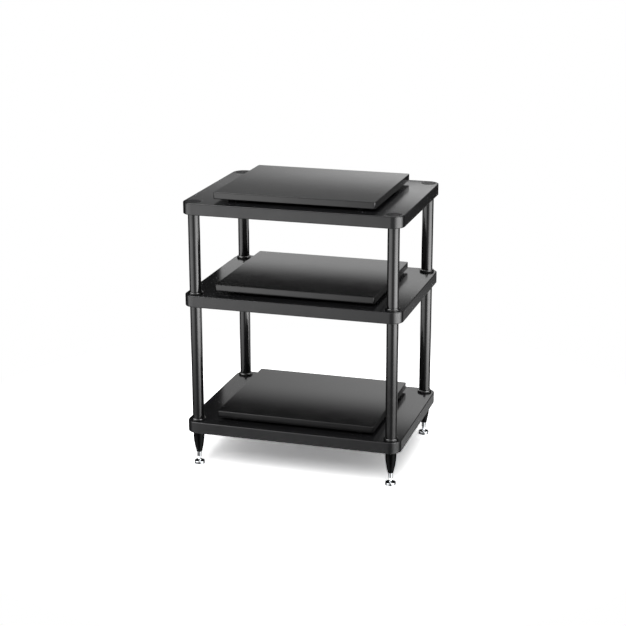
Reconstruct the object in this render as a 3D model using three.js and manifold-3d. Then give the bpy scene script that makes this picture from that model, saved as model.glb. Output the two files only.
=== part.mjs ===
// Audio equipment rack: three lacquered shelves on four columns of steel tube, each shelf
// carrying a floating board on rubber decouplers, standing on tapered legs with levelling
// spikes and floor discs.
// Millimetres, +Z up, front towards -Y, origin on the floor under the rack's middle.
import * as THREE from "three";
import { mergeVertices } from "three/addons/utils/BufferGeometryUtils.js";
import Module from "manifold-3d";

// Shelves and the clear bays between them.
const shelfWidth = 650;
const shelfDepth = 490;
const shelfThickness = 34;
const shelfCornerRadius = 35;
const shelfEdge = 2;
const lowerBay = 354;
const upperBay = 239;

// Columns of tube, with a bored plug welded into each end.
const columnInset = 31;
const tubeRadius = 17;
const tubeWall = 2;
const tubePlug = 16;
const tubeChamfer = 1;

// Collars that seat the foot of each tube on a shelf.
const collarRadius = 22;
const collarHeight = 6.5;
const collarSeat = 3.5;
const collarBand = 2;
const collarLip = 1.2;

// Caps over the columns, each with its own stud, let into the top shelf.
const capRadius = 21;
const capThickness = 3.7;
const capRecess = 3.5;
const capEdge = 0.6;

// Studs that tie the columns through the shelves.
const studRadius = 4;
const studGrip = 14;
const studTip = 0.8;

// Tapered legs, each with a stud on top and a socket for its spike below.
const legHeight = 67.7;
const legRadius = 16.3;
const legStraight = 13.7;
const legFootRadius = 8.3;
const legChamfer = 0.8;

// Levelling spikes that screw up into the legs.
const spikeTipRadius = 0.8;
const spikePoint = 18;
const spikeRadius = 6.5;
const spikeShoulder = 13.4;
const spikeStud = 24;
const spikeReserve = 2;

// Floor discs, each with a cup that the spike stands in.
const discRadius = 15.5;
const discHeight = 10;
const discEdge = 1.4;
const cupRadius = 5;
const cupDepth = 4;

// Floating boards and the rubber decouplers under them.
const boardSideMargin = 87;
const boardFrontMargin = 41;
const boardThickness = 20;
const boardCornerRadius = 5;
const boardEdge = 1.5;
const boardLift = 8;
const decouplerRadius = 10;
const decouplerWaist = 9.2;
const decouplerSideInset = 48;
const decouplerFrontInset = 26;
const pegRadius = 4;
const pegLength = 8;
const pegRelief = 0.8;

// Fits: what one piece leaves to the next.
const seatGap = 0.3;
const studClearance = 0.3;
const rimClearance = 0.3;
const cutOverrun = 1;

// Facet counts.
const tubeFacets = 20;
const collarFacets = 20;
const collarRimFacets = 2;
const capFacets = 24;
const discFacets = 20;
const legFacets = 18;
const legTaperFacets = 4;
const spikeFacets = 12;
const studFacets = 10;
const decouplerFacets = 10;
const cornerFacets = 7;

const wasm = await Module();
wasm.setup();

// Finishes.
function finish(color, roughness, metalness) {
  return new THREE.MeshStandardMaterial({ color, roughness, metalness });
}
const shelfLacquer = finish("#2b2b2d", 0.45, 0);
const boardLacquer = finish("#232325", 0.3, 0);
const tubePaint = finish("#38383a", 0.35, 0.4);
const collarMetal = finish("#1d1d1f", 0.2, 0.8);
const capPlastic = finish("#1f1f21", 0.5, 0);
const legPaint = finish("#101011", 0.3, 0.3);
const footChrome = finish("#d8dadc", 0.08, 1);
const studSteel = finish("#9a9a98", 0.35, 1);
const decouplerRubber = finish("#161616", 0.8, 0);

// The solid of a closed geometry, for cutting.
function solidFrom(geometry) {
  const bare = geometry.clone();
  bare.deleteAttribute("normal");
  bare.deleteAttribute("uv");
  const merged = mergeVertices(bare);
  return new wasm.Manifold(
    new wasm.Mesh({
      numProp: 3,
      vertProperties: merged.attributes.position.array,
      triVerts: new Uint32Array(merged.index.array),
    }),
  );
}

// The geometry of a solid that was cut.
function geometryFrom(solid) {
  const mesh = solid.getMesh();
  const geometry = new THREE.BufferGeometry();
  geometry.setAttribute("position", new THREE.BufferAttribute(mesh.vertProperties, 3));
  geometry.setIndex(new THREE.BufferAttribute(mesh.triVerts, 1));
  geometry.computeVertexNormals();
  return geometry;
}

// A piece turned about Z, from its profile of [radius, height] pairs, lowest outside point first.
function turned(profile, facets) {
  const points = profile.map(([radius, height]) => new THREE.Vector2(radius, height));
  const geometry = new THREE.LatheGeometry(points, facets);
  return geometry.rotateX(Math.PI / 2);
}

// A rounded rectangle centred on the axis.
function roundedRectangle(width, depth, radius) {
  const x = width / 2;
  const y = depth / 2;
  const shape = new THREE.Shape();
  shape.moveTo(x, radius - y);
  shape.lineTo(x, y - radius);
  shape.absarc(x - radius, y - radius, radius, 0, Math.PI / 2);
  shape.lineTo(radius - x, y);
  shape.absarc(radius - x, y - radius, radius, Math.PI / 2, Math.PI);
  shape.lineTo(-x, radius - y);
  shape.absarc(radius - x, radius - y, radius, Math.PI, Math.PI * 1.5);
  shape.lineTo(x - radius, -y);
  shape.absarc(x - radius, radius - y, radius, Math.PI * 1.5, Math.PI * 2);
  return shape;
}

// A flat board with rounded corners and eased edges, its underside at height zero.
function easedBoard(width, depth, thickness, cornerRadius, edge) {
  const geometry = new THREE.ExtrudeGeometry(roundedRectangle(width, depth, cornerRadius), {
    depth: thickness - 2 * edge,
    bevelThickness: edge,
    bevelSize: edge,
    bevelOffset: -edge,
    bevelSegments: 1,
    curveSegments: cornerFacets,
  });
  return geometry.translate(0, 0, edge);
}

// A round cutter from one height to another.
function roundCutter(x, y, radius, bottom, top, facets) {
  const height = top - bottom;
  const geometry = new THREE.CylinderGeometry(radius, radius, height, facets);
  return geometry.rotateX(Math.PI / 2).translate(x, y, bottom + height / 2);
}

// A board with every cutter taken out of it.
function drilled(board, cutters) {
  let solid = solidFrom(board);
  for (const cutter of cutters) solid = solid.subtract(solidFrom(cutter));
  return geometryFrom(solid);
}

// What the shelf leaves a board, and how high a decoupler fills under it.
const boardWidth = shelfWidth - 2 * boardSideMargin;
const boardDepth = shelfDepth - 2 * boardFrontMargin;
const decouplerHeight = boardLift - 2 * seatGap;

// The four corners of a rectangle on the axis, with their names.
function corners(x, y) {
  return [
    { name: "front_left", x: -x, y: -y },
    { name: "front_right", x, y: -y },
    { name: "rear_left", x: -x, y },
    { name: "rear_right", x, y },
  ];
}
const columns = corners(shelfWidth / 2 - columnInset, shelfDepth / 2 - columnInset);
const decouplerPlaces = corners(
  boardWidth / 2 - decouplerSideInset,
  boardDepth / 2 - decouplerFrontInset,
);

// Heights, from the floor up, and what a stud crosses between a shelf's face and a plug.
const spikeTipZ = discHeight - cupDepth + seatGap;
const spikeShoulderZ = spikeTipZ + spikePoint;
const spikeTopZ = spikeShoulderZ + spikeShoulder;
const legBottomZ = spikeTopZ + seatGap;
const legTopZ = legBottomZ + legHeight;
const bottomShelfZ = legTopZ + seatGap;
const middleShelfZ = bottomShelfZ + shelfThickness + lowerBay;
const topShelfZ = middleShelfZ + shelfThickness + upperBay;
const collarRise = seatGap + collarSeat + seatGap;

const rack = new THREE.Group();

// Adds one named piece to the rack.
function place(name, geometry, material, x, y, z) {
  const mesh = new THREE.Mesh(geometry, material);
  mesh.name = name;
  mesh.position.set(x, y, z);
  rack.add(mesh);
}

// A shelf, bored for the column studs and for the decouplers' pegs.
function shelfGeometry(isTop) {
  const cutters = [];
  for (const column of columns) {
    const bore = studRadius + studClearance;
    const above = shelfThickness + cutOverrun;
    cutters.push(roundCutter(column.x, column.y, bore, -cutOverrun, above, studFacets));
    if (isTop) {
      const recess = capRadius + rimClearance;
      const floor = shelfThickness - capRecess;
      cutters.push(roundCutter(column.x, column.y, recess, floor, above, capFacets));
    }
  }
  for (const spot of decouplerPlaces) {
    const bore = pegRadius + studClearance;
    const floor = shelfThickness - pegLength - pegRelief;
    const above = shelfThickness + cutOverrun;
    cutters.push(roundCutter(spot.x, spot.y, bore, floor, above, decouplerFacets));
  }
  const blank = easedBoard(shelfWidth, shelfDepth, shelfThickness, shelfCornerRadius, shelfEdge);
  return drilled(blank, cutters);
}

// A floating board, plain on both faces.
function boardGeometry() {
  return easedBoard(boardWidth, boardDepth, boardThickness, boardCornerRadius, boardEdge);
}

// A tube with its bored end plugs, as one welded piece.
function tubeGeometry(length) {
  const bore = studRadius + studClearance;
  const inside = tubeRadius - tubeWall;
  return turned(
    [
      [bore, 0],
      [tubeRadius - tubeChamfer, 0],
      [tubeRadius, tubeChamfer],
      [tubeRadius, length - tubeChamfer],
      [tubeRadius - tubeChamfer, length],
      [bore, length],
      [bore, length - tubePlug],
      [inside, length - tubePlug],
      [inside, tubePlug],
      [bore, tubePlug],
      [bore, 0],
    ],
    tubeFacets,
  );
}

// Points of a quarter of an ellipse, from its widest point up to its highest.
function quarterArc(innerRadius, outerRadius, bottom, top, facets) {
  return Array.from({ length: facets + 1 }, (_, step) => {
    const angle = (step / facets) * (Math.PI / 2);
    const radius = innerRadius + (outerRadius - innerRadius) * Math.cos(angle);
    return [radius, bottom + (top - bottom) * Math.sin(angle)];
  });
}

// A collar: a ring with a cup for the tube's end and a rim rounded over to its lip.
function collarGeometry() {
  const bore = studRadius + studClearance;
  const cup = tubeRadius + rimClearance;
  return turned(
    [
      [bore, 0],
      [collarRadius, 0],
      ...quarterArc(cup + collarLip, collarRadius, collarBand, collarHeight, collarRimFacets),
      [cup, collarHeight],
      [cup, collarSeat],
      [bore, collarSeat],
      [bore, 0],
    ],
    collarFacets,
  );
}

// A plain stud with eased ends, its lower end at height zero.
function studGeometry(length) {
  return turned(
    [
      [0, 0],
      [studRadius - studTip, 0],
      [studRadius, studTip],
      [studRadius, length - studTip],
      [studRadius - studTip, length],
      [0, length],
    ],
    studFacets,
  );
}

// A cap and its stud in one piece, the cap's underside at height zero.
function capGeometry(studLength) {
  return turned(
    [
      [0, -studLength],
      [studRadius - studTip, -studLength],
      [studRadius, studTip - studLength],
      [studRadius, 0],
      [capRadius, 0],
      [capRadius, capThickness - capEdge],
      [capRadius - capEdge, capThickness],
      [0, capThickness],
    ],
    capFacets,
  );
}

// A leg: its foot swells on a sine curve to a straight top, with a spike socket below and
// a stud above that runs up through the shelf and the collar into the tube's plug.
function legGeometry() {
  const bore = studRadius + studClearance;
  const socket = spikeStud + spikeReserve;
  const taper = legHeight - legStraight;
  const studTop = legHeight + seatGap + shelfThickness + collarRise + studGrip;
  const flank = Array.from({ length: legTaperFacets + 1 }, (_, step) => {
    const share = step / legTaperFacets;
    const swell = Math.sin((share * Math.PI) / 2);
    return [legFootRadius + (legRadius - legFootRadius) * swell, taper * share];
  });
  return turned(
    [
      [0, socket],
      [bore, socket],
      [bore, 0],
      ...flank,
      [legRadius, legHeight - legChamfer],
      [legRadius - legChamfer, legHeight],
      [studRadius, legHeight],
      [studRadius, studTop - studTip],
      [studRadius - studTip, studTop],
      [0, studTop],
    ],
    legFacets,
  );
}

// A spike: point, shoulder and the stud above it, the tip at height zero.
function spikeGeometry() {
  const shoulderTop = spikePoint + spikeShoulder;
  const studTop = shoulderTop + spikeStud;
  return turned(
    [
      [0, 0],
      [spikeTipRadius, spikeTipRadius / 2],
      [spikeRadius, spikePoint],
      [spikeRadius, shoulderTop],
      [studRadius, shoulderTop],
      [studRadius, studTop - studTip],
      [studRadius - studTip, studTop],
      [0, studTop],
    ],
    spikeFacets,
  );
}

// A floor disc with eased rims and the cup in its top.
function discGeometry() {
  return turned(
    [
      [0, 0],
      [discRadius - discEdge / 2, 0],
      [discRadius, discEdge / 2],
      [discRadius, discHeight - discEdge],
      [discRadius - discEdge, discHeight],
      [cupRadius, discHeight],
      [0, discHeight - cupDepth],
    ],
    discFacets,
  );
}

// A decoupler: a waisted rubber buffer on a peg, its flange's underside at height zero.
function decouplerGeometry() {
  return turned(
    [
      [0, -pegLength],
      [pegRadius, -pegLength],
      [pegRadius, 0],
      [decouplerRadius, 0],
      [decouplerWaist, decouplerHeight / 2],
      [decouplerRadius, decouplerHeight],
      [0, decouplerHeight],
    ],
    decouplerFacets,
  );
}

// Shelves, boards and decouplers, level by level.
const levels = [
  { name: "bottom", z: bottomShelfZ },
  { name: "middle", z: middleShelfZ },
  { name: "top", z: topShelfZ },
];
for (const level of levels) {
  const shelfTopZ = level.z + shelfThickness;
  const isTop = level.name === "top";
  place(`${level.name}_shelf`, shelfGeometry(isTop), shelfLacquer, 0, 0, level.z);
  place(`${level.name}_board`, boardGeometry(), boardLacquer, 0, 0, shelfTopZ + boardLift);
  for (const spot of decouplerPlaces) {
    const name = `${level.name}_decoupler_${spot.name}`;
    place(name, decouplerGeometry(), decouplerRubber, spot.x, spot.y, shelfTopZ + seatGap);
  }
}

// A tube on its collar, in the bay above a shelf.
function addTube(name, column, shelfZ, bay) {
  const collarZ = shelfZ + shelfThickness + seatGap;
  const tubeZ = shelfZ + shelfThickness + collarRise;
  const tube = tubeGeometry(bay - collarRise - seatGap);
  place(`${name}_collar_${column.name}`, collarGeometry(), collarMetal, column.x, column.y, collarZ);
  place(`${name}_tube_${column.name}`, tube, tubePaint, column.x, column.y, tubeZ);
}

for (const column of columns) {
  addTube("lower", column, bottomShelfZ, lowerBay);
  addTube("upper", column, middleShelfZ, upperBay);
  const tie = studGeometry(studGrip + seatGap + shelfThickness + collarRise + studGrip);
  const tieZ = middleShelfZ - seatGap - studGrip;
  place(`tie_stud_${column.name}`, tie, studSteel, column.x, column.y, tieZ);
  const capZ = topShelfZ + shelfThickness - capRecess + seatGap;
  const capStud = capZ - topShelfZ + seatGap + studGrip;
  place(`cap_${column.name}`, capGeometry(capStud), capPlastic, column.x, column.y, capZ);
  place(`leg_${column.name}`, legGeometry(), legPaint, column.x, column.y, legBottomZ);
  place(`spike_${column.name}`, spikeGeometry(), footChrome, column.x, column.y, spikeTipZ);
  place(`floor_disc_${column.name}`, discGeometry(), footChrome, column.x, column.y, 0);
}

export default rack;
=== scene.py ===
"""Looks of an audio equipment rack: lacquered shelves and floating boards on satin black
tube columns, with turned legs, chrome spikes and floor discs. Metres, +Z up, front at -Y."""

import logging
import math
from collections.abc import Iterable, Sequence
from dataclasses import dataclass, field
from enum import StrEnum
from functools import cache

import bpy
import numpy as np
from bpy.types import ID, Material, Node, NodeSocket, NodeTree, Object
from mathutils import Matrix, Vector
from mathutils.geometry import tessellate_polygon


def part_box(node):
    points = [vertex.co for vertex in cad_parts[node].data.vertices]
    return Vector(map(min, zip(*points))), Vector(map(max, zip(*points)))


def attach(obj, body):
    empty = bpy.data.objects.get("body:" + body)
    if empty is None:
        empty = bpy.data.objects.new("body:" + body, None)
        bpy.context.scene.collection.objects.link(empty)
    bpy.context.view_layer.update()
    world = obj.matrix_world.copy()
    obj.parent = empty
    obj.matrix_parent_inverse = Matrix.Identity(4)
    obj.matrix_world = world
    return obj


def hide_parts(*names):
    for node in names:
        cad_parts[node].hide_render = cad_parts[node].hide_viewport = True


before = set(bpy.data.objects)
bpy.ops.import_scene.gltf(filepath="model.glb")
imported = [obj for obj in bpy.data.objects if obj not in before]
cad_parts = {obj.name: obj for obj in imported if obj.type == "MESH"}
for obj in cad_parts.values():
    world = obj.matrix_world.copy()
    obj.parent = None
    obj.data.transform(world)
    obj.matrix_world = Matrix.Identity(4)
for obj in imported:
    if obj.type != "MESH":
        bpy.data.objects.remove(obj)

MM = 0.001
# Points of a piece that share a step of this lattice, in metres, are one vertex.
WELD = 1e-6
# An edge that turns by more than this stays sharp.
SHARP_ANGLE = math.radians(40)
# Nearly all values of a noise field lie in this range.
NOISE_RANGE = (0.3, 0.7)
# The relief of a turned piece is drawn out 50 times round its axis.
RING_STRETCH = (0.02, 1.0, 1.0)
WHITE = (1.0, 1.0, 1.0, 1.0)
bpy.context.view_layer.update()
LOG = logging.getLogger("rack")

Pair = tuple[float, float]


class Level(StrEnum):
    """The rack's three shelf levels, from the floor up."""

    BOTTOM = "bottom"
    MIDDLE = "middle"
    TOP = "top"


class Bay(StrEnum):
    """The two stretches of column between the shelves."""

    LOWER = "lower"
    UPPER = "upper"


class Corner(StrEnum):
    """The four corners that a column, a foot or a decoupler stands at."""

    FRONT_LEFT = "front_left"
    FRONT_RIGHT = "front_right"
    REAR_LEFT = "rear_left"
    REAR_RIGHT = "rear_right"


class Relief(StrEnum):
    """What a finish's fine relief follows."""

    GRAIN = "grain"
    TURNING = "turning"


def linear(colour: str) -> tuple[float, ...]:
    """Turns an sRGB hex colour into the linear colour that a shader takes.

    Args:
        colour: six hex digits after a hash mark.

    Returns:
        Linear red, green, blue and an alpha of one.
    """
    channels = np.array([int(colour[i : i + 2], 16) for i in (1, 3, 5)]) / 255
    low = channels / 12.92
    high = ((channels + 0.055) / 1.055) ** 2.4
    return *np.where(channels <= 0.04045, low, high).tolist(), 1.0


def add_node(
    tree: NodeTree, kind: str, inputs: dict[str | int, object] | None = None, **settings: object
) -> Node:
    """Adds a node to a tree, with its settings, its values and its links.

    Args:
        tree: the node tree that takes the node.
        kind: the node's type name, less the ShaderNode that it starts with.
        inputs: for each input a value, another node's output socket, or another node, which
            is then linked from its first output in use.
        settings: the node's own properties.

    Returns:
        The new node.
    """
    node = tree.nodes.new(f"ShaderNode{kind}")
    for key, value in settings.items():
        setattr(node, key, value)
    for key, value in (inputs or {}).items():
        if isinstance(value, Node):
            value = next(socket for socket in value.outputs if socket.enabled)
        if isinstance(value, NodeSocket):
            tree.links.new(value, node.inputs[key])
        else:
            node.inputs[key].default_value = value
    return node


def cleared_tree(owner: ID) -> NodeTree:
    """Gives a material or a world an empty node tree."""
    owner.use_nodes = True
    owner.node_tree.nodes.clear()
    return owner.node_tree


@dataclass(frozen=True)
class Finish:
    """One finish: a colour that drifts to another, a roughness with haze and a fine relief.

    Lengths are millimetres. The drift and the haze are wide noise fields, and the relief is
    a noise field at grain size, or lines round the axis where the piece was turned.
    """

    name: str
    colour: str
    drift: str
    drift_size: float
    roughness: float
    haze: float
    haze_size: float
    grain_size: float
    grain_height: float
    metallic: float = 0.0
    ior: float = 1.5
    coat: float = 0.0
    coat_roughness: float = 0.1
    relief: Relief = Relief.GRAIN

    @cache
    def material(self) -> Material:
        """Builds the finish as a node material.

        Returns:
            The material, ready for a mesh's slot.
        """
        material = bpy.data.materials.new(self.name)
        tree = cleared_tree(material)
        place = add_node(tree, "TexCoord")
        space = place.outputs["Object"]
        fields = (
            (space, self.drift_size, 3.0, 0.55),
            (space, self.haze_size, 4.0, 0.6),
            (self._relief_place(tree, place), self.grain_size, 2.0, 0.5),
        )
        drifting, hazy, grainy = (
            add_node(
                tree,
                "TexNoise",
                {"Vector": where, "Scale": 1 / (size * MM), "Detail": octaves, "Roughness": gain},
            )
            for where, size, octaves, gain in fields
        )
        mixed = {"Factor": drifting, "A": linear(self.colour), "B": linear(self.drift)}
        colour = add_node(tree, "Mix", mixed, data_type="RGBA")
        spread = {
            "Value": hazy,
            "From Min": NOISE_RANGE[0],
            "From Max": NOISE_RANGE[1],
            "To Min": self.roughness - self.haze,
            "To Max": self.roughness + self.haze,
        }
        rough = add_node(tree, "MapRange", spread)
        bump = add_node(tree, "Bump", {"Height": grainy, "Distance": self.grain_height * MM})
        surface = {
            "Base Color": colour,
            "Roughness": rough,
            "Metallic": self.metallic,
            "IOR": self.ior,
            "Coat Weight": self.coat,
            "Coat Roughness": self.coat_roughness,
            "Normal": bump,
        }
        shader = add_node(tree, "BsdfPrincipled", surface)
        add_node(tree, "OutputMaterial", {"Surface": shader})
        return material

    def _relief_place(self, tree: NodeTree, place: Node) -> NodeSocket | Node:
        """Finds where the relief's noise is read.

        Args:
            tree: the material's node tree.
            place: the texture coordinate node.

        Returns:
            The place in space, or on a turned piece its surface coordinate, squeezed round
            the axis so that the noise is drawn out into rings.
        """
        if self.relief is Relief.GRAIN:
            return place.outputs["Object"]
        along = {0: place.outputs["UV"], 1: RING_STRETCH}
        return add_node(tree, "VectorMath", along, operation="MULTIPLY")


# Satin sprayed lacquer on board: an even, dark charcoal sheen, with shallow orange peel of
# 1.6 mm.
SATIN_LACQUER = Finish(
    "shelf_satin_lacquer",
    colour="#1f1f20",
    drift="#252527",
    drift_size=90,
    roughness=0.16,
    haze=0.02,
    haze_size=40,
    grain_size=1.6,
    grain_height=0.004,
)

# Semi-gloss lacquer: a deeper black than the shelves and a little smoother, so that it mirrors
# what stands behind it.
GLOSS_LACQUER = Finish(
    "board_semi_gloss_lacquer",
    colour="#101011",
    drift="#161617",
    drift_size=120,
    roughness=0.13,
    haze=0.015,
    haze_size=60,
    grain_size=2.0,
    grain_height=0.003,
)

# Fine powder coat on steel tube: satin black. Its real grain of 0.3 mm is drawn at 0.8 mm, and
# very shallow.
POWDER_COAT = Finish(
    "tube_powder_coat",
    colour="#19191a",
    drift="#1f1f20",
    drift_size=50,
    roughness=0.13,
    haze=0.02,
    haze_size=25,
    grain_size=0.8,
    grain_height=0.0008,
)

# Glossy black electro-plated collar: near black, with hard small highlights on its rim.
BLACK_PLATE = Finish(
    "collar_black_plate",
    colour="#0b0b0c",
    drift="#121213",
    drift_size=12,
    roughness=0.08,
    haze=0.015,
    haze_size=8,
    grain_size=0.5,
    grain_height=0.002,
    coat=0.6,
    coat_roughness=0.05,
    relief=Relief.TURNING,
)

# Black oxide on a turned cap: darker and flatter than the lacquer round it, with faint rings.
BLACK_OXIDE = Finish(
    "cap_black_oxide",
    colour="#131314",
    drift="#1a1a1b",
    drift_size=14,
    roughness=0.42,
    haze=0.04,
    haze_size=9,
    grain_size=0.7,
    grain_height=0.006,
    ior=1.3,
    relief=Relief.TURNING,
)

# Semi-gloss stoved black on the turned legs: almost no colour, one thin highlight.
STOVED_BLACK = Finish(
    "leg_stoved_black",
    colour="#050505",
    drift="#09090a",
    drift_size=20,
    roughness=0.16,
    haze=0.03,
    haze_size=12,
    grain_size=0.6,
    grain_height=0.003,
    ior=1.16,
    relief=Relief.TURNING,
)

# Polished chrome plate: a clean mirror, broken only by faint lathe lines of 0.4 mm.
CHROME = Finish(
    "foot_chrome_plate",
    colour="#e6e8ea",
    drift="#d9dcdf",
    drift_size=10,
    roughness=0.06,
    haze=0.02,
    haze_size=5,
    grain_size=0.4,
    grain_height=0.001,
    metallic=1.0,
    relief=Relief.TURNING,
)

# Plain machined steel of the tie studs, hidden inside the columns.
MACHINED_STEEL = Finish(
    "stud_machined_steel",
    colour="#8f8f8c",
    drift="#a3a39f",
    drift_size=8,
    roughness=0.34,
    haze=0.05,
    haze_size=4,
    grain_size=0.4,
    grain_height=0.004,
    metallic=1.0,
)

# Moulded rubber: dead matt black, with the mould's fine spark texture of 0.5 mm.
MOULDED_RUBBER = Finish(
    "decoupler_moulded_rubber",
    colour="#131313",
    drift="#1b1b1b",
    drift_size=6,
    roughness=0.78,
    haze=0.06,
    haze_size=4,
    grain_size=0.5,
    grain_height=0.03,
)


def wrapped(grid: np.ndarray) -> np.ndarray:
    """Repeats a grid's first column after its last, so that it closes on itself."""
    return np.concatenate([grid, grid[:, :1]], axis=1)


def rounded(points: Sequence[Pair], radii: Sequence[float], steps: int = 6) -> np.ndarray:
    """Rounds the corners of an open polyline with arcs.

    At each inner corner an arc of the given radius touches both legs, with its centre on
    the corner's bisector at radius / sin(half the corner's angle).

    Args:
        points: the polyline's corners.
        radii: one radius for each corner, zero where it stays sharp.
        steps: the number of steps in an arc.

    Returns:
        The rounded polyline, one row a point.
    """
    corners = np.array(points, float)
    out = [corners[:1]]
    for here, before, after, radius in zip(
        corners[1:-1], corners[:-2], corners[2:], radii[1:-1], strict=True
    ):
        if radius <= 0:
            out.append(here[None])
            continue
        back = (before - here) / np.linalg.norm(before - here)
        ahead = (after - here) / np.linalg.norm(after - here)
        half = math.acos(np.clip(back @ ahead, -1, 1)) / 2
        bisector = (back + ahead) / np.linalg.norm(back + ahead)
        centre = here + bisector * (radius / math.sin(half))
        start = here + back * (radius / math.tan(half)) - centre
        end = here + ahead * (radius / math.tan(half)) - centre
        turn = math.atan2(start[0] * end[1] - start[1] * end[0], start @ end)
        angle = np.linspace(0, turn, steps + 1)[:, None]
        side = np.array([-start[1], start[0]])
        out.append(centre + start * np.cos(angle) + side * np.sin(angle))
    out.append(corners[-1:])
    return np.concatenate(out)


def braced(profile: np.ndarray, reach: float) -> np.ndarray:
    """Adds a point near each end of every long leg, so that flat stretches shade flat.

    Args:
        profile: the polyline, one row a point.
        reach: how far from a leg's end its extra point lies.

    Returns:
        The polyline with its extra points.
    """
    legs = np.diff(profile, axis=0)
    lengths = np.linalg.norm(legs, axis=1)
    out = [profile[:1]]
    for start, leg, length in zip(profile[:-1], legs, lengths, strict=True):
        if length > 4 * reach:
            near = start + leg * (reach / length)
            far = start + leg * (1 - reach / length)
            out.append(np.stack([near, far]))
        out.append((start + leg)[None])
    return np.concatenate(out)


@dataclass
class Patchwork:
    """Patches of surface that are welded into one closed mesh.

    A patch is a grid of points. Its faces point along (step between columns) x (step
    between rows), and points of different patches that coincide become one vertex.
    """

    name: str
    points: list[np.ndarray] = field(default_factory=list)
    corners: list[np.ndarray] = field(default_factory=list)
    turnings: list[np.ndarray] = field(default_factory=list)
    count: int = 0

    def add_grid(self, grid: np.ndarray, turning: np.ndarray) -> None:
        """Adds a grid of quads.

        Args:
            grid: points in metres, rows x columns x 3.
            turning: the surface coordinate of each point, rows x columns x 2.
        """
        rows, columns = grid.shape[:2]
        index = np.arange(rows * columns).reshape(rows, columns)
        ring = (index[:-1, :-1], index[:-1, 1:], index[1:, 1:], index[1:, :-1])
        quads = np.stack(ring, axis=-1).reshape(-1, 4)
        self._add(grid.reshape(-1, 3), quads, turning.reshape(-1, 2))

    def add_flat(self, loops: Sequence[np.ndarray], height: float, upward: bool) -> None:
        """Fills a level outline, less its holes, with triangles.

        Args:
            loops: the outline and then each hole, rows of x and y in metres.
            height: the level's height.
            upward: whether the face looks up.
        """
        flat = np.concatenate(loops)
        polylines = [[Vector((x / MM, y / MM, 0)) for x, y in loop] for loop in loops]
        triangles = np.array(tessellate_polygon(polylines), int)
        first, second, third = (flat[triangles[:, i]] for i in range(3))
        ahead = second - first
        aside = third - first
        looks_up = ahead[:, 0] * aside[:, 1] - ahead[:, 1] * aside[:, 0] > 0
        turned_over = looks_up != upward
        triangles[turned_over] = triangles[turned_over][:, ::-1]
        points = np.column_stack([flat, np.full(len(flat), height)])
        quads = np.column_stack([triangles, triangles[:, 2]])
        self._add(points, quads, flat)

    def _add(self, points: np.ndarray, quads: np.ndarray, turning: np.ndarray) -> None:
        """Adds points and the quads between them, with a surface coordinate a point."""
        self.points.append(points)
        self.corners.append(quads + self.count)
        self.turnings.append(turning[quads])
        self.count += len(points)

    def build(self, material: Material) -> Object:
        """Welds the patches and makes the object, at the origin with its place in its mesh.

        Points are matched on a lattice of a thousandth of a millimetre, and a quad with two
        equal corners becomes a triangle.

        Args:
            material: the material of the whole piece.

        Returns:
            The linked object.
        """
        points = np.concatenate(self.points)
        quads = np.concatenate(self.corners)
        turning = np.concatenate(self.turnings)
        keys = np.round(points / WELD).astype(np.int64)
        _, first, inverse = np.unique(keys, axis=0, return_index=True, return_inverse=True)
        corners = inverse.reshape(-1)[quads]
        kept = corners != np.roll(corners, -1, axis=1)
        sides = kept.sum(axis=1)
        whole = sides >= 3
        kept = kept[whole]
        loops = corners[whole][kept]
        faces = np.split(loops, np.cumsum(sides[whole])[:-1])
        mesh = bpy.data.meshes.new(self.name)
        mesh.from_pydata(points[first], [], faces)
        layer = mesh.uv_layers.new(name="Turning")
        layer.uv.foreach_set("vector", turning[whole][kept].astype(np.float32).ravel())
        mesh.materials.append(material)
        mesh.update()
        mesh.shade_smooth()
        mesh.set_sharp_from_angle(angle=SHARP_ANGLE)
        piece = bpy.data.objects.new(self.name, mesh)
        bpy.context.scene.collection.objects.link(piece)
        return piece


def circle(centre: Pair, radius: float, sides: int) -> np.ndarray:
    """Points round a circle, anticlockwise from +X: centre + radius (cos t, sin t)."""
    angle = np.arange(sides) / sides * 2 * np.pi
    return np.array(centre) + radius * np.column_stack([np.cos(angle), np.sin(angle)])


def revolve(
    patchwork: Patchwork, centre: Pair, radius: np.ndarray, height: np.ndarray, sides: int
) -> None:
    """Adds a surface turned about an upright axis.

    A point is centre + radius(row, t) (cos t, sin t), at height(row), with t the angle. Its
    surface coordinate is (arc round the widest circle, length along the profile).

    Args:
        patchwork: the piece that takes the surface.
        centre: the axis, x and y in metres.
        radius: a radius for each row, or for each row and side, in metres.
        height: the height of each row.
        sides: the number of sides.
    """
    radii = radius[:, None] if radius.ndim == 1 else radius
    radii = np.broadcast_to(radii, (len(height), sides))
    angle = np.arange(sides) / sides * 2 * np.pi
    x = centre[0] + radii * np.cos(angle)
    y = centre[1] + radii * np.sin(angle)
    z = np.broadcast_to(height[:, None], x.shape)
    grid = wrapped(np.stack([x, y, z], axis=-1))
    step = np.hypot(np.diff(radii[:, 0]), np.diff(height))
    along = np.concatenate([[0], np.cumsum(step)])
    arc = np.arange(sides + 1) / sides * 2 * np.pi * radii.max()
    turning = np.stack(np.meshgrid(arc, along), axis=-1)
    patchwork.add_grid(grid, turning)


def centre_of(node: str) -> Pair:
    """The x and y of a node's middle, in metres."""
    low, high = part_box(node)
    return (low.x + high.x) / 2, (low.y + high.y) / 2


def height_of(node: str) -> float:
    """A node's height in millimetres."""
    low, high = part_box(node)
    return (high.z - low.z) / MM


def dress(piece: Object, node: str, body: str) -> None:
    """Puts a finished piece in a node's place and on its body.

    Args:
        piece: the finished piece.
        node: the node that it stands for.
        body: the body that it rides on.
    """
    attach(piece, body)
    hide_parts(node)
    LOG.info("%s: %d faces, on %s", piece.name, len(piece.data.polygons), body)


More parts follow.
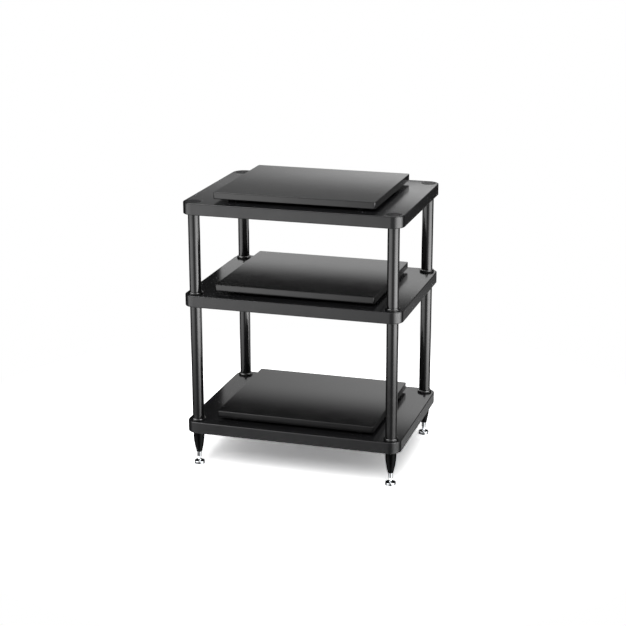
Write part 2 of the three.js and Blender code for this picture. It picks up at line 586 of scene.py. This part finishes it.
def turn_piece(
    node: str,
    radius: np.ndarray,
    height: np.ndarray,
    sides: int,
    finish: Finish,
    body: str,
    slot: str,
    ending: str = "surface",
) -> Object:
    """Turns a piece in a node's place and dresses it.

    Args:
        node: the node that the piece stands for.
        radius: a radius for each row, or for each row and side, in millimetres.
        height: each row's height over the node's underside, in millimetres.
        sides: the number of sides.
        finish: the piece's finish.
        body: the body that it rides on.
        slot: not used.
        ending: what the piece's name adds to the node's.

    Returns:
        The linked object.
    """
    low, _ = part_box(node)
    patchwork = Patchwork(f"{node}_{ending}")
    revolve(patchwork, centre_of(node), radius * MM, height * MM + low.z, sides)
    piece = patchwork.build(finish.material())
    dress(piece, node, body)
    return piece


@dataclass(frozen=True)
class Well:
    """A round well in a board's top: rows of radius and depth, from its rim down.

    A well that ends on the axis is blind, and any other runs through to the underside.
    """

    centre: Pair
    profile: tuple[Pair, ...]
    sides: int = 40

    @property
    def blind(self) -> bool:
        """Whether the well ends inside the board."""
        return self.profile[-1][0] == 0


@dataclass
class EasedBoard:
    """A level board with round corners and eased edges, in millimetres.

    Its rim is a rounded rectangle drawn in by the eased edge's quarter circle: the point at
    inset d is corner centre + (corner radius - d)(cos t, sin t).
    """

    node: str
    corner_radius: float
    edge: float
    corner_steps: int = 20
    edge_steps: int = 6
    margin: float = 0.8
    brace: float = 0.7
    wells: list[Well] = field(default_factory=list)

    def outline(self, inset: np.ndarray) -> np.ndarray:
        """The rim's points at each inset.

        Args:
            inset: how far each ring is drawn in, in millimetres.

        Returns:
            Points of x and y in metres, rings x points x 2.
        """
        low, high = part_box(self.node)
        reach = self.corner_radius * MM
        angle = np.linspace(0, np.pi / 2, self.corner_steps + 1)
        quarter = np.arange(4)[:, None] * np.pi / 2
        turn = (quarter + angle).ravel()
        side = np.repeat([(1, 1), (-1, 1), (-1, -1), (1, -1)], len(angle), axis=0)
        middle = np.array([low.x + high.x, low.y + high.y]) / 2
        half = np.array([high.x - low.x, high.y - low.y]) / 2
        corner = middle + side * (half - reach)
        arm = reach - np.asarray(inset)[:, None, None] * MM
        return corner + arm * np.column_stack([np.cos(turn), np.sin(turn)])

    def profile(self) -> np.ndarray:
        """Rows of inset in millimetres and height in metres, the underside first."""
        low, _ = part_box(self.node)
        thick = height_of(self.node)
        flat = self.edge + self.margin
        corners = [(flat, 0), (0, 0), (0, thick), (flat, thick)]
        rim = rounded(corners, [0, self.edge, self.edge, 0], self.edge_steps)
        rim = braced(rim, self.brace)
        return np.column_stack([rim[:, 0], low.z + rim[:, 1] * MM])

    def build(self, finish: Finish) -> Object:
        """Builds the board with its wells.

        Args:
            finish: the board's finish.

        Returns:
            The linked object.
        """
        patchwork = Patchwork(f"{self.node}_surface")
        profile = self.profile()
        rings = self.outline(profile[:, 0])
        height = np.broadcast_to(profile[:, 1][:, None, None], rings.shape[:2] + (1,))
        grid = wrapped(np.concatenate([rings, height], axis=-1))
        run = np.linalg.norm(np.diff(grid[0], axis=0), axis=1)
        around = np.concatenate([[0], np.cumsum(run)])
        turning = np.stack(np.meshgrid(around, profile[:, 1]), axis=-1)
        patchwork.add_grid(grid, turning)
        top = profile[-1, 1]
        bottom = profile[0, 1]
        over = [rings[-1]]
        under = [rings[0]]
        for well in self.wells:
            rows = np.array(well.profile) * MM
            depth = np.where(np.isinf(rows[:, 1]), top - bottom, rows[:, 1])
            revolve(patchwork, well.centre, rows[:, 0], top - depth, well.sides)
            over.append(circle(well.centre, rows[0, 0], well.sides))
            if not well.blind:
                under.append(circle(well.centre, rows[-1, 0], well.sides))
        patchwork.add_flat(over, top, upward=True)
        patchwork.add_flat(under, bottom, upward=False)
        return patchwork.build(finish.material())


@dataclass
class ShelfLevel:
    """One shelf with its floating board and the four decouplers between them."""

    level: Level
    shelf_corner: float = 35
    shelf_edge: float = 2
    board_corner: float = 5
    board_edge: float = 1.5
    board_corner_steps: int = 8
    bore_sides: int = 64
    stud_bore: float = 4.3
    cap_recess: float = 21.3
    recess_depth: float = 3.5
    peg_bore: float = 4.3
    peg_depth: float = 8.8
    rim_break: float = 0.3

    def build(self, shelf: Finish, board: Finish, rubber: Finish) -> None:
        """Builds the shelf, the board and the decouplers.

        Args:
            shelf: the shelf's finish.
            board: the floating board's finish.
            rubber: the decouplers' finish.
        """
        name = self.level
        slab = EasedBoard(f"{name}_shelf", self.shelf_corner, self.shelf_edge)
        slab.wells = [*self._stud_wells(), *self._peg_wells()]
        dress(slab.build(shelf), slab.node, "root")
        plate = EasedBoard(
            f"{name}_board", self.board_corner, self.board_edge, self.board_corner_steps
        )
        dress(plate.build(board), plate.node, f"board_{name}")
        for corner in Corner:
            Decoupler(f"{name}_decoupler_{corner}").build(rubber)

    def _stud_wells(self) -> Iterable[Well]:
        """The bores for the column studs, each in a cap's recess on the top shelf."""
        bore = self.stud_bore
        recess = self.cap_recess
        through = ((bore + self.rim_break, 0), (bore, self.rim_break), (bore, math.inf))
        stepped = (
            (recess + self.rim_break, 0),
            (recess, self.rim_break),
            (recess, self.recess_depth),
            (bore, self.recess_depth),
            (bore, math.inf),
        )
        profile = stepped if self.level is Level.TOP else through
        for corner in Corner:
            yield Well(centre_of(f"leg_{corner}"), profile, self.bore_sides)

    def _peg_wells(self) -> Iterable[Well]:
        """The blind bores for the decouplers' pegs."""
        bore = self.peg_bore
        profile = (
            (bore + self.rim_break, 0),
            (bore, self.rim_break),
            (bore, self.peg_depth),
            (0, self.peg_depth),
        )
        for corner in Corner:
            yield Well(centre_of(f"{self.level}_decoupler_{corner}"), profile)


@dataclass
class Decoupler:
    """A waisted rubber buffer on its peg, in millimetres."""

    node: str
    peg_radius: float = 4
    peg_length: float = 8
    radius: float = 10
    waist: float = 9.2
    edge: float = 0.8
    waist_steps: int = 8
    sides: int = 40

    def build(self, rubber: Finish) -> None:
        """Turns the buffer: peg, flange, a waist on a cosine and an eased top.

        Args:
            rubber: the buffer's finish.
        """
        top = height_of(self.node)
        seat = self.peg_length
        flange = seat + 2 * self.edge
        crown = top - 2 * self.edge
        foot = [
            (0, 0),
            (self.peg_radius, 0),
            (self.peg_radius, seat),
            (self.radius, seat),
            (self.radius, flange),
        ]
        lower = rounded(foot, [0, self.edge, 0, self.edge, 0], steps=4)
        share = np.linspace(0, 1, self.waist_steps + 1)[1:-1]
        dip = (self.radius - self.waist) * (1 - np.cos(2 * np.pi * share)) / 2
        middle = np.column_stack([self.radius - dip, flange + (crown - flange) * share])
        head = [(self.radius, crown), (self.radius, top), (0, top)]
        upper = rounded(head, [0, self.edge, 0], steps=4)
        profile = np.concatenate([lower, middle, upper])
        slot = "decoupler_rubber"
        turn_piece(self.node, *profile.T, self.sides, rubber, "root", slot, "rubber")


@dataclass
class Column:
    """One corner's column: the collars, the tubes and the cap, in millimetres."""

    corner: Corner
    tube_radius: float = 17
    tube_wall: float = 2
    tube_plug: float = 16
    tube_edge: float = 1
    bore: float = 4.3
    collar_radius: float = 22
    collar_height: float = 6.5
    collar_band: float = 2
    collar_lip: float = 1.2
    collar_cup: float = 17.3
    collar_seat: float = 3.5
    collar_foot_edge: float = 0.4
    collar_mouth_edge: float = 0.3
    collar_steps: int = 12
    collar_brace: float = 0.2
    cap_radius: float = 21
    cap_edge: float = 0.6
    cap_thickness: float = 3.7
    stud_radius: float = 4
    brace: float = 0.4
    sides: int = 96

    def build(self, tube: Finish, collar: Finish, cap: Finish, steel: Finish) -> None:
        """Builds the column's visible pieces and gives its tie stud its finish.

        Args:
            tube: the tubes' finish.
            collar: the collars' finish.
            cap: the cap's finish.
            steel: the tie stud's finish.
        """
        for bay in Bay:
            self._tube(f"{bay}_tube_{self.corner}", tube)
            self._collar(f"{bay}_collar_{self.corner}", collar)
        self._cap(f"cap_{self.corner}", cap)
        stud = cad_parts[f"tie_stud_{self.corner}"]
        stud.data.materials.clear()
        stud.data.materials.append(steel.material())

    def _tube(self, node: str, finish: Finish) -> None:
        """Turns a tube with its bored plugs, open down the middle.

        A rear tube stays out of other pieces' reflections, as the photo's boards show none.
        """
        length = height_of(node)
        inside = self.tube_radius - self.tube_wall
        corners = [
            (self.bore, 0),
            (self.tube_radius, 0),
            (self.tube_radius, length),
            (self.bore, length),
            (self.bore, length - self.tube_plug),
            (inside, length - self.tube_plug),
            (inside, self.tube_plug),
            (self.bore, self.tube_plug),
            (self.bore, 0),
        ]
        edge = self.tube_edge
        profile = braced(rounded(corners, [0, edge, edge, 0, 0, 0, 0, 0, 0]), self.brace)
        tube = turn_piece(node, *profile.T, self.sides, finish, "root", "tube_paint")
        tube.visible_glossy = self.corner in (Corner.FRONT_LEFT, Corner.FRONT_RIGHT)

    def _collar(self, node: str, finish: Finish) -> None:
        """Turns a collar: a band, a quarter ellipse up to the lip, and the tube's cup."""
        lip = self.collar_cup + self.collar_lip
        rise = self.collar_height - self.collar_band
        angle = np.linspace(0, np.pi / 2, self.collar_steps + 1)
        across = lip + (self.collar_radius - lip) * np.cos(angle)
        over = np.column_stack([across, self.collar_band + rise * np.sin(angle)])
        foot = rounded(
            [(self.bore, 0), (self.collar_radius, 0), (self.collar_radius, self.collar_band)],
            [0, self.collar_foot_edge, 0],
            steps=3,
        )
        cup = rounded(
            [
                (lip, self.collar_height),
                (self.collar_cup, self.collar_height),
                (self.collar_cup, self.collar_seat),
                (self.bore, self.collar_seat),
                (self.bore, 0),
            ],
            [0, self.collar_mouth_edge, 0, 0, 0],
            steps=3,
        )
        profile = braced(np.concatenate([foot[:-1], over, cup[1:]]), self.collar_brace)
        turn_piece(node, *profile.T, self.sides, finish, "root", "collar_metal")

    def _cap(self, node: str, finish: Finish) -> None:
        """Turns the cap on its stud, with an eased rim."""
        top = height_of(node)
        under = top - self.cap_thickness
        corners = [
            (0, 0),
            (self.stud_radius, 0),
            (self.stud_radius, under),
            (self.cap_radius, under),
            (self.cap_radius, top),
            (0, top),
        ]
        edge = self.cap_edge
        rim = rounded(corners, [0, edge, 0, edge / 2, edge, 0], steps=4)
        profile = braced(rim, self.brace)
        turn_piece(node, *profile.T, self.sides, finish, "root", "cap_finish")


@dataclass
class Foot:
    """One corner's foot: the turned leg, the threaded spike and the floor disc."""

    corner: Corner
    leg_radius: float = 16.3
    leg_foot: float = 8.3
    leg_height: float = 67.7
    leg_straight: float = 13.7
    leg_edge: float = 0.8
    leg_foot_edge: float = 0.5
    leg_mouth_edge: float = 0.3
    leg_steps: int = 24
    leg_brace: float = 0.5
    bore: float = 4.3
    socket: float = 26
    stud_radius: float = 4
    spike_tip: float = 0.8
    spike_point: float = 18
    spike_radius: float = 6.5
    spike_shoulder: float = 13.4
    spike_edges: tuple[float, ...] = (0, 0.2, 1.2, 0.6, 0)
    thread_pitch: float = 1.25
    thread_depth: float = 0.65
    rows_per_pitch: int = 8
    disc_radius: float = 15.5
    disc_height: float = 10
    disc_edge: float = 1.4
    cup_radius: float = 5
    cup_depth: float = 4
    brace: float = 0.3
    sides: int = 72

    def build(self, leg: Finish, chrome: Finish) -> None:
        """Builds the leg on the rack, the spike on its screw and the disc on the spike.

        Args:
            leg: the leg's finish.
            chrome: the spike's and the disc's finish.
        """
        corner = self.corner
        profile = self.leg_profile()
        turn_piece(f"leg_{corner}", *profile.T, self.sides, leg, "root", "leg_paint")
        self._spike(f"spike_{corner}", chrome)
        node = f"floor_disc_{corner}"
        profile = self.disc_profile()
        turn_piece(node, *profile.T, self.sides, chrome, f"disc_{corner}", "foot_chrome")

    def leg_profile(self) -> np.ndarray:
        """The leg's profile: its flank swells on a quarter sine from the foot to the top.

        Returns:
            Rows of radius and height in millimetres, from the socket's end round the
            outside to the stud's tip.
        """
        top = height_of(f"leg_{self.corner}")
        share = np.linspace(0, 1, self.leg_steps + 1)
        swell = np.sin(share * np.pi / 2)
        taper = self.leg_height - self.leg_straight
        radius = self.leg_foot + (self.leg_radius - self.leg_foot) * swell
        flank = np.column_stack([radius, taper * share])
        flank = flank[flank[:, 1] > self.leg_edge]
        mouth = rounded(
            [(self.bore, self.socket), (self.bore, 0), (self.leg_foot, 0), tuple(flank[0])],
            [0, self.leg_mouth_edge, self.leg_foot_edge, 0],
            steps=4,
        )
        head = rounded(
            [
                (self.leg_radius, taper),
                (self.leg_radius, self.leg_height),
                (self.stud_radius, self.leg_height),
                (self.stud_radius, top),
                (0, top),
            ],
            [0, self.leg_edge, 0, self.leg_edge, 0],
            steps=5,
        )
        start = np.array([[0, self.socket]])
        profile = np.concatenate([start, mouth[:-1], flank[:-1], head])
        return braced(profile, self.leg_brace)

    def disc_profile(self) -> np.ndarray:
        """The floor disc's profile: eased rims and a conical cup in its top.

        Returns:
            Rows of radius and height in millimetres, from the underside's middle.
        """
        corners = [
            (0, 0),
            (self.disc_radius, 0),
            (self.disc_radius, self.disc_height),
            (self.cup_radius, self.disc_height),
            (0, self.disc_height - self.cup_depth),
        ]
        edge = self.disc_edge
        return braced(rounded(corners, [0, edge / 2, edge, edge / 3, 0]), self.brace)

    def _spike(self, node: str, finish: Finish) -> None:
        """Turns the spike and cuts its thread.

        The thread's radius is the stud's less the depth times a triangle wave of (height /
        pitch - angle / full turn), drawn in to the root circle at both ends.
        """
        top = height_of(node)
        shoulder = self.spike_point + self.spike_shoulder
        root = self.stud_radius - self.thread_depth
        corners = [
            (0, 0),
            (self.spike_tip, self.spike_tip / 2),
            (self.spike_radius, self.spike_point),
            (self.spike_radius, shoulder),
            (root, shoulder),
        ]
        point = braced(rounded(corners, self.spike_edges, steps=5), self.brace)
        turns = (top - shoulder) / self.thread_pitch
        share = np.linspace(0, 1, int(turns * self.rows_per_pitch) + 1)[1:]
        climb = shoulder + (top - shoulder) * share
        phase = (climb / self.thread_pitch)[:, None] - np.arange(self.sides) / self.sides
        wave = 1 - np.abs(2 * (phase % 1) - 1)
        end = np.minimum(share, 1 - share) * turns
        thread = root + self.thread_depth * wave * np.clip(end, 0, 1)[:, None]
        plain = np.broadcast_to(point[:, :1], (len(point), self.sides))
        radius = np.concatenate([plain, thread, np.zeros((1, self.sides))])
        height = np.concatenate([point[:, 1], climb, [top]])
        body = f"foot_{self.corner}"
        turn_piece(node, radius, height, self.sides, finish, body, "foot_chrome")


@dataclass(frozen=True)
class Panel:
    """A soft light panel of the studio, as shiny surfaces see it.

    Azimuth is in degrees, zero towards the front and positive to the right, or zero towards
    the rear and positive to the left for a rear panel. stops gives the brightness at each
    elevation in degrees.
    """

    name: str
    centre: float
    half_width: float
    softness: float
    level: float
    stops: tuple[Pair, ...]
    rear: bool = False


@dataclass(frozen=True)
class Card:
    """A glowing card that stands behind a board, as shiny surfaces see it.

    across is the x of its two ends, glow the brightness there, and up its two edges' heights
    over the board's face, all lengths in millimetres. Between the heights in fade the
    brightness goes over to above.
    """

    level: Level
    across: Pair
    glow: Pair
    up: Pair
    fade: Pair
    above: float = 0.0


@dataclass
class Studio:
    """The floor, the lamp, the panels, the cards and the camera, in metres and degrees.

    The floor is lit paper up to fade_start from the rack's middle and plain white from
    fade_end on. floor_gain is how much brighter its paper is to the camera than to other
    rays, ambient the light that matt surfaces get from every side, and darkness what shiny
    ones see between the panels. pan and rise move the camera along its own axes.
    """

    floor_size: float = 60.0
    floor_albedo: str = "#f4f4f4"
    fade_start: float = 0.75
    fade_end: float = 1.25
    floor_gain: float = 5.1
    ambient: float = 0.31
    darkness: float = 0.02
    lamp_size: float = 3.4
    lamp_power: float = 40.0
    lamp_place: tuple[float, float, float] = (0.1, -1.6, 2.8)
    card_y: float = 0.42
    view_end: float = 200.0
    azimuth: float = 16.775
    elevation: float = 16.754
    roll: float = -0.110
    distance: float = 4.80218
    pan: float = -0.00371
    rise: float = 0.27936
    target_height: float = 0.140
    focal_pixels: float = 1578.476
    frame_pixels: float = 626.0
    sensor: float = 36.0

    def build(self, panels: Sequence[Panel], cards: Sequence[Card]) -> None:
        """Sets up the floor, the light and the camera.

        Args:
            panels: the panels that shiny surfaces see.
            cards: the cards behind the boards.
        """
        self._floor()
        self._lamp()
        for index, card in enumerate(cards):
            self._card(card, f"card_{index}")
        self._world(panels)
        self._camera()
        bpy.context.scene.view_settings.view_transform = "Standard"

    def _floor(self) -> None:
        """Lays a floor that is lit near the rack and plain white further out."""
        side = np.linspace(-0.5, 0.5, 3) * self.floor_size
        x, y = np.meshgrid(side, side)
        grid = np.stack([x, y, np.zeros_like(x)], axis=-1)
        patchwork = Patchwork("studio_floor")
        patchwork.add_grid(grid, grid[..., :2])
        material = bpy.data.materials.new("floor_white_paper")
        tree = cleared_tree(material)
        place = add_node(tree, "TexCoord")
        camera_ray = add_node(tree, "LightPath").outputs["Is Camera Ray"]
        reach = add_node(tree, "VectorMath", {0: place.outputs["Object"]}, operation="LENGTH")
        fade = {"Value": reach, "From Min": self.fade_start, "From Max": self.fade_end}
        far = add_node(tree, "MapRange", fade, interpolation_type="SMOOTHSTEP")
        plain = add_node(tree, "Math", {0: far, 1: camera_ray}, operation="MULTIPLY")
        gains = {"Value": camera_ray, "To Min": 1.0, "To Max": self.floor_gain}
        gain = add_node(tree, "MapRange", gains)
        albedo = {0: linear(self.floor_albedo)[:3], "Scale": gain}
        paper = add_node(tree, "VectorMath", albedo, operation="SCALE")
        lit = add_node(tree, "BsdfDiffuse", {"Color": paper})
        white = add_node(tree, "Emission", {"Strength": 1.0})
        mix = add_node(tree, "MixShader", {0: plain, 1: lit, 2: white})
        add_node(tree, "OutputMaterial", {"Surface": mix})
        floor = patchwork.build(material)
        floor.visible_glossy = False

    def _lamp(self) -> None:
        """Hangs one large soft lamp over the rack."""
        data = bpy.data.lights.new("overhead_softbox", "AREA")
        data.shape = "SQUARE"
        data.size = self.lamp_size
        data.energy = self.lamp_power
        lamp = bpy.data.objects.new("overhead_softbox", data)
        lamp.location = self.lamp_place
        down = -Vector(self.lamp_place)
        lamp.rotation_euler = down.to_track_quat("-Z", "Y").to_euler()
        lamp.visible_glossy = False
        bpy.context.scene.collection.objects.link(lamp)

    def _card(self, card: Card, name: str) -> None:
        """Stands a glowing card behind a board, out of the camera's sight.

        Args:
            card: the card.
            name: the card's object name.
        """
        _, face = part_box(f"{card.level}_board")
        left, right = (end * MM for end in card.across)
        x, z = np.meshgrid(np.linspace(left, right, 3), face.z + np.array(card.up) * MM)
        grid = np.stack([x, np.full_like(x, self.card_y), z], axis=-1)
        patchwork = Patchwork(name)
        patchwork.add_grid(grid, grid[..., ::2])
        material = bpy.data.materials.new(f"{name}_paper")
        material.cycles.emission_sampling = "NONE"
        tree = cleared_tree(material)
        place = add_node(tree, "TexCoord")
        axes = add_node(tree, "SeparateXYZ", {0: place.outputs["Object"]})
        run = {
            "Value": axes.outputs["X"],
            "From Min": left,
            "From Max": right,
            "To Min": card.glow[0],
            "To Max": card.glow[1],
        }
        level = add_node(tree, "MapRange", run)
        low, high = (face.z + height * MM for height in card.fade)
        fade = {"Value": axes.outputs["Z"], "From Min": low, "From Max": high}
        over = add_node(tree, "MapRange", fade, interpolation_type="SMOOTHSTEP")
        strength = add_node(tree, "Mix", {"Factor": over, "A": level, "B": card.above})
        glow = add_node(tree, "Emission", {"Strength": strength})
        add_node(tree, "OutputMaterial", {"Surface": glow})
        piece = patchwork.build(material)
        piece.visible_camera = False
        piece.visible_diffuse = False
        piece.visible_shadow = False

    def _world(self, panels: Sequence[Panel]) -> None:
        """Builds the world: white to the camera, even to matt surfaces, panels to shiny ones.

        Args:
            panels: the panels that shiny surfaces see.
        """
        world = bpy.data.worlds.new("studio")
        world.cycles.sampling_method = "NONE"
        bpy.context.scene.world = world
        tree = cleared_tree(world)
        way = add_node(tree, "TexCoord").outputs["Generated"]
        turned = add_node(tree, "VectorMath", {0: way, 1: (-1, -1, 1)}, operation="MULTIPLY")
        right, rear, up = add_node(tree, "SeparateXYZ", {0: way}).outputs
        left, front, _ = add_node(tree, "SeparateXYZ", {0: turned}).outputs
        tilt = add_node(tree, "Math", {0: up}, operation="ARCSINE")
        elevation = add_node(tree, "Math", {0: tilt}, operation="DEGREES")
        bearings = {}
        for is_rear, side, ahead in ((False, right, front), (True, left, rear)):
            turn = add_node(tree, "Math", {0: side, 1: ahead}, operation="ARCTAN2")
            bearings[is_rear] = add_node(tree, "Math", {0: turn}, operation="DEGREES")
        total: object = self.darkness
        for panel in panels:
            glow = self._panel(tree, panel, bearings[panel.rear], elevation)
            total = add_node(tree, "Math", {0: total, 1: glow}, operation="ADD")
        path = add_node(tree, "LightPath")
        mixed = {"Factor": path.outputs["Is Glossy Ray"], "A": self.ambient, "B": total}
        light = add_node(tree, "Mix", mixed)
        mixed = {"Factor": path.outputs["Is Camera Ray"], "A": light, "B": 1.0}
        strength = add_node(tree, "Mix", mixed)
        sky = add_node(tree, "Background", {"Color": WHITE, "Strength": strength})
        add_node(tree, "OutputWorld", {"Surface": sky})

    def _panel(self, tree: NodeTree, panel: Panel, bearing: Node, elevation: Node) -> Node:
        """Adds one panel's brightness: level x share by elevation x soft edges by azimuth.

        Args:
            tree: the world's node tree.
            panel: the panel.
            bearing: the azimuth that the panel is placed by, in degrees.
            elevation: the elevation in degrees.

        Returns:
            The node that gives the panel's brightness.
        """
        offset = add_node(tree, "Math", {0: bearing, 1: panel.centre}, operation="SUBTRACT")
        away = add_node(tree, "Math", {0: offset}, operation="ABSOLUTE")
        edge = {
            "Value": away,
            "From Min": panel.half_width - panel.softness,
            "From Max": panel.half_width + panel.softness,
            "To Min": panel.level,
            "To Max": 0.0,
        }
        across = add_node(tree, "MapRange", edge, interpolation_type="SMOOTHSTEP")
        lowest = panel.stops[0][0]
        highest = panel.stops[-1][0]
        reach = {"Value": elevation, "From Min": lowest, "From Max": highest}
        height = add_node(tree, "MapRange", reach)
        ramp = add_node(tree, "ValToRGB", {"Fac": height})
        ramp.color_ramp.interpolation = "EASE"
        elements = ramp.color_ramp.elements
        for degrees, _ in panel.stops[1:-1]:
            elements.new((degrees - lowest) / (highest - lowest))
        for element, (_, share) in zip(elements, panel.stops, strict=True):
            element.color = (share, share, share, 1.0)
        LOG.info("%s: panel at level %g", panel.name, panel.level)
        return add_node(tree, "Math", {0: across, 1: ramp}, operation="MULTIPLY")

    def _camera(self) -> None:
        """Places the camera at the photograph's angle, distance and focal length."""
        azimuth = math.radians(self.azimuth)
        elevation = math.radians(self.elevation)
        roll = math.radians(self.roll)
        level = math.cos(elevation)
        back = Vector((math.sin(azimuth) * level, -math.cos(azimuth) * level, math.sin(elevation)))
        right = Vector((math.cos(azimuth), math.sin(azimuth), 0))
        up = back.cross(right)
        rolled_right = right * math.cos(roll) + up * math.sin(roll)
        rolled_up = up * math.cos(roll) - right * math.sin(roll)
        place = Vector((0, 0, self.target_height))
        place += back * self.distance + rolled_right * self.pan + rolled_up * self.rise
        data = bpy.data.cameras.new("photo_camera")
        data.sensor_width = self.sensor
        data.lens = self.focal_pixels / self.frame_pixels * self.sensor
        data.clip_end = self.view_end
        camera = bpy.data.objects.new("photo_camera", data)
        turn = Matrix((rolled_right, rolled_up, back)).transposed().to_4x4()
        camera.matrix_world = Matrix.Translation(place) @ turn
        bpy.context.scene.collection.objects.link(camera)
        bpy.context.scene.camera = camera


# What shiny surfaces see round the rack. A bright card on the right and a dimmer one on the
# left are brightest about 16 degrees below the horizon, where the photo's camera sees them in
# upright faces. Softboxes at both sides and a faint ceiling hang above them, a weak fill stands
# in front, and a weaker panel behind on the right.
SOFTBOX = ((38, 0), (44, 1), (66, 1), (78, 0))
PANELS = (
    Panel(
        "left_card", centre=-46, half_width=32, softness=18, level=3.4,
        stops=(
            (-60, 0.35), (-22.9, 0.35), (-21.7, 0.02), (-20, 0.05), (-18.5, 0.3), (-17, 0.7),
            (-15.5, 1), (-13.5, 0.95), (-8, 0.4), (-2, 0.1), (40, 0.1),
        ),
    ),
    Panel(
        "right_card", centre=75, half_width=31, softness=21, level=10.5,
        stops=(
            (-60, 0.2), (-22.9, 0.2), (-21.7, 0.09), (-19.5, 0.2), (-18, 0.55), (-16.5, 1),
            (-14, 0.75), (-12, 0.55), (-8, 0.25), (-2, 0.04), (40, 0.04),
        ),
    ),
    Panel("left_softbox", centre=-75, half_width=35, softness=10, level=7.0, stops=SOFTBOX),
    Panel("right_softbox", centre=85, half_width=35, softness=10, level=9.0, stops=SOFTBOX),
    Panel(
        "ceiling", centre=0, half_width=179, softness=1, level=0.9,
        stops=((32, 0), (52, 1), (90, 1)),
    ),
    Panel(
        "front_fill", centre=14, half_width=32, softness=12, level=0.5,
        stops=((-60, 0.2), (-20, 0.25), (-16, 1), (0, 0.8), (30, 0.6), (60, 0.3)),
    ),
    Panel(
        "rear_right", centre=-17, half_width=19, softness=9, level=0.35, rear=True,
        stops=(
            (-60, 0.6), (-21, 1), (-17, 0.7), (-15, 0.2), (-12, 0.03), (-4, 0), (0, 0),
            (6, 0.75), (28, 0.75), (38, 0),
        ),
    ),
)

# The cards behind the boards: a board's back mirrors its card, and its front the card's faded
# upper end and the dark over it.
CARDS = (
    Card(
        Level.TOP, across=(-560, 280), glow=(0.33, 1.27), up=(15, 180), fade=(50, 125), above=0.24
    ),
    Card(Level.MIDDLE, across=(-450, 280), glow=(0.95, 1.03), up=(10, 150), fade=(84, 150)),
    Card(Level.BOTTOM, across=(-450, 280), glow=(0.62, 1.08), up=(0, 222), fade=(130, 222)),
)


def main() -> None:
    """Builds the rack level by level and corner by corner, then the studio round it."""
    logging.basicConfig(level=logging.INFO, format="%(name)s: %(message)s")
    for level in Level:
        ShelfLevel(level).build(SATIN_LACQUER, GLOSS_LACQUER, MOULDED_RUBBER)
    for corner in Corner:
        Column(corner).build(POWDER_COAT, BLACK_PLATE, BLACK_OXIDE, MACHINED_STEEL)
        Foot(corner).build(STOVED_BLACK, CHROME)
    Studio().build(PANELS, CARDS)


if __name__ == "__main__":
    main()
